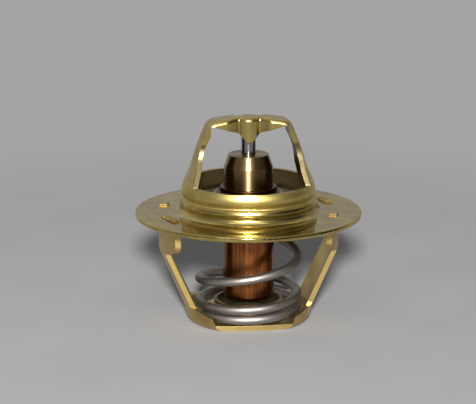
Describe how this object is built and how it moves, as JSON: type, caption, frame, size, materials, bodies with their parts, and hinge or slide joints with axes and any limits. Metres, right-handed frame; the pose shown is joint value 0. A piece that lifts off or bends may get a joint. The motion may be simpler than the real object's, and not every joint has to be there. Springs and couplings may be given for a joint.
{
  "type": "engine coolant thermostat",
  "caption": "Wax-capsule coolant valve: round brass flange with a domed bridge, copper capsule, coil spring and brass cage below",
  "frame": {"origin": "centre of the mounting flange's underside, on the valve axis", "axes": "+Z along the valve axis from the flange to the bridge; +X through one arm of the bridge and one leg of the cage; +Y to the open back of the bridge"},
  "size_m": [0.054, 0.054, 0.0495],
  "materials": {
    "bridge_brass": "bright drawn brass sheet with fine drawing lines",
    "cage_brass": "bright drawn brass sheet with sheared edges",
    "pin_steel": "ground steel",
    "spring_steel": "satin drawn spring wire",
    "disc_brass": "pressed brass, dulled",
    "cup_copper": "drawn copper with lengthwise draw marks",
    "guide_bronze": "turned bronze, polished",
    "seal_rubber": "moulded rubber",
    "washer_plastic": "plain",
    "boot_rubber": "moulded rubber",
    "wax": "wax filled with copper powder"
  },
  "bodies": {
    "housing": {"flange_and_bridge": "bridge_brass", "lower_frame": "cage_brass", "push_pin": "pin_steel", "spring": "spring_steel"},
    "valve": {"valve_disc": "disc_brass", "capsule_cup": "cup_copper", "capsule_guide": "guide_bronze", "pin_wiper": "seal_rubber", "support_washer": "washer_plastic", "rubber_boot": "boot_rubber", "wax_charge": "wax"}
  },
  "joints": [
    {"name": "valve_open", "type": "slide", "parent": "housing", "child": "valve", "axis": [0, 0, -1], "range_m": [0, 0.008], "stiffness_N_per_m": 2000, "springref_m": -0.015, "deforming": ["spring"]}
  ]
}
